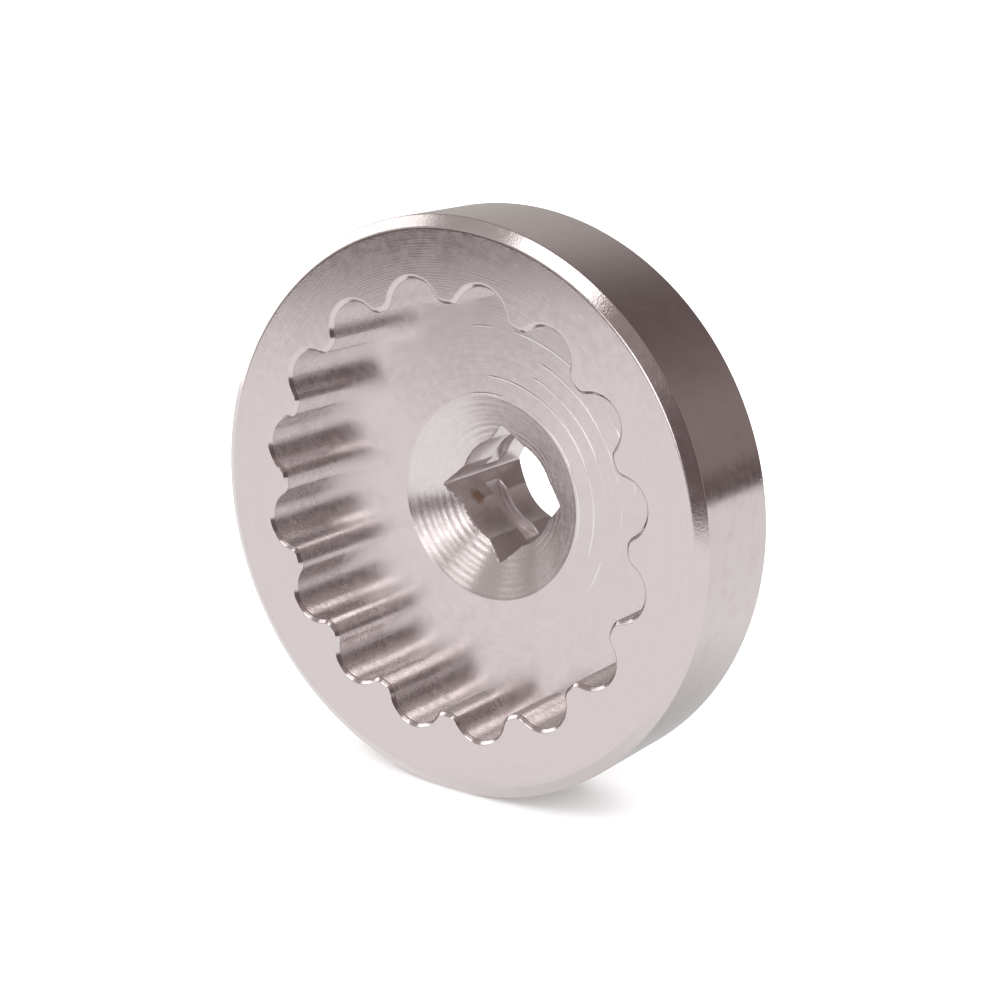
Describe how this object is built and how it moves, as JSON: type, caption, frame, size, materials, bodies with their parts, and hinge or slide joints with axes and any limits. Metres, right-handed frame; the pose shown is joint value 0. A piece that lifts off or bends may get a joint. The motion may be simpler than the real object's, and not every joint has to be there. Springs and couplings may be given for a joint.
{
  "type": "splined drive socket",
  "caption": "Round steel socket disc with a toothed blind recess for a notched cup or lock ring, a rear hub and a square drive hole through its centre.",
  "frame": {"origin": "on the axis of rotation, in the plane of the hub's rear end face, where the square drive enters", "axes": "+Y along the axis from the toothed face to the rear end, so the toothed face looks to -Y; +Z points through a tooth and a corner of the square hole"},
  "size_m": [0.0556, 0.022, 0.0554],
  "materials": {
    "plated_steel": "turned and milled steel under bright nickel plating, with fine concentric turning lines"
  },
  "bodies": {
    "root": {"socket_body": "plated_steel"}
  },
  "joints": []
}
